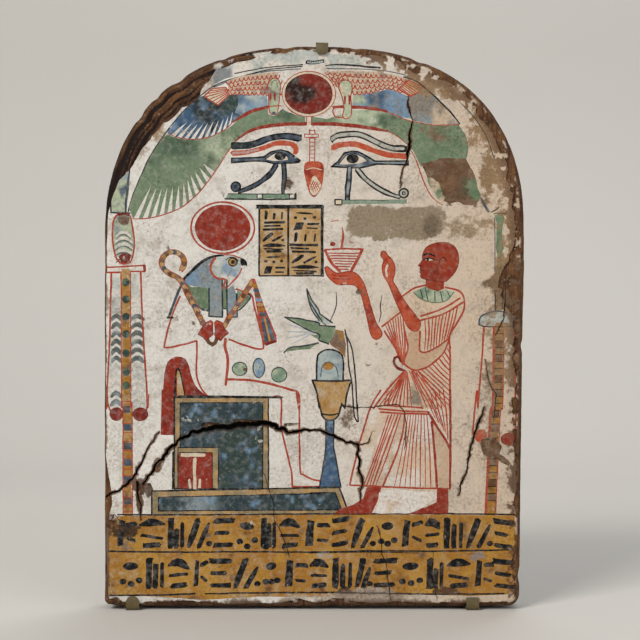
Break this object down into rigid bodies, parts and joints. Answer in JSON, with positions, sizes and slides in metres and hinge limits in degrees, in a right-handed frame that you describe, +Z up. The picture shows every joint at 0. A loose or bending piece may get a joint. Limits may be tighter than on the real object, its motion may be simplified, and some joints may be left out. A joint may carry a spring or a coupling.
{
  "type": "painted wooden stele",
  "caption": "Round-topped wooden stele, its face coated with gesso and painted, split by old cracks, standing in a slim strap cradle.",
  "frame": {"origin": "on the surface that the cradle's two lower fingers stand on, under the middle of the whole object", "axes": "+Z up the stele, -Y out of its painted face, +X to the right for someone facing it"},
  "size_m": [0.225, 0.029, 0.303],
  "materials": {
    "painted_gesso_on_wood": "matt mineral paint on off-white gesso, cracked, speckled and worn to brown wood along the edges",
    "olive_painted_brass": "satin olive paint over brass strap, rubbed at the edges"
  },
  "bodies": {
    "root": {"stele_board": "painted_gesso_on_wood", "mount_cradle": "olive_painted_brass"}
  },
  "joints": []
}
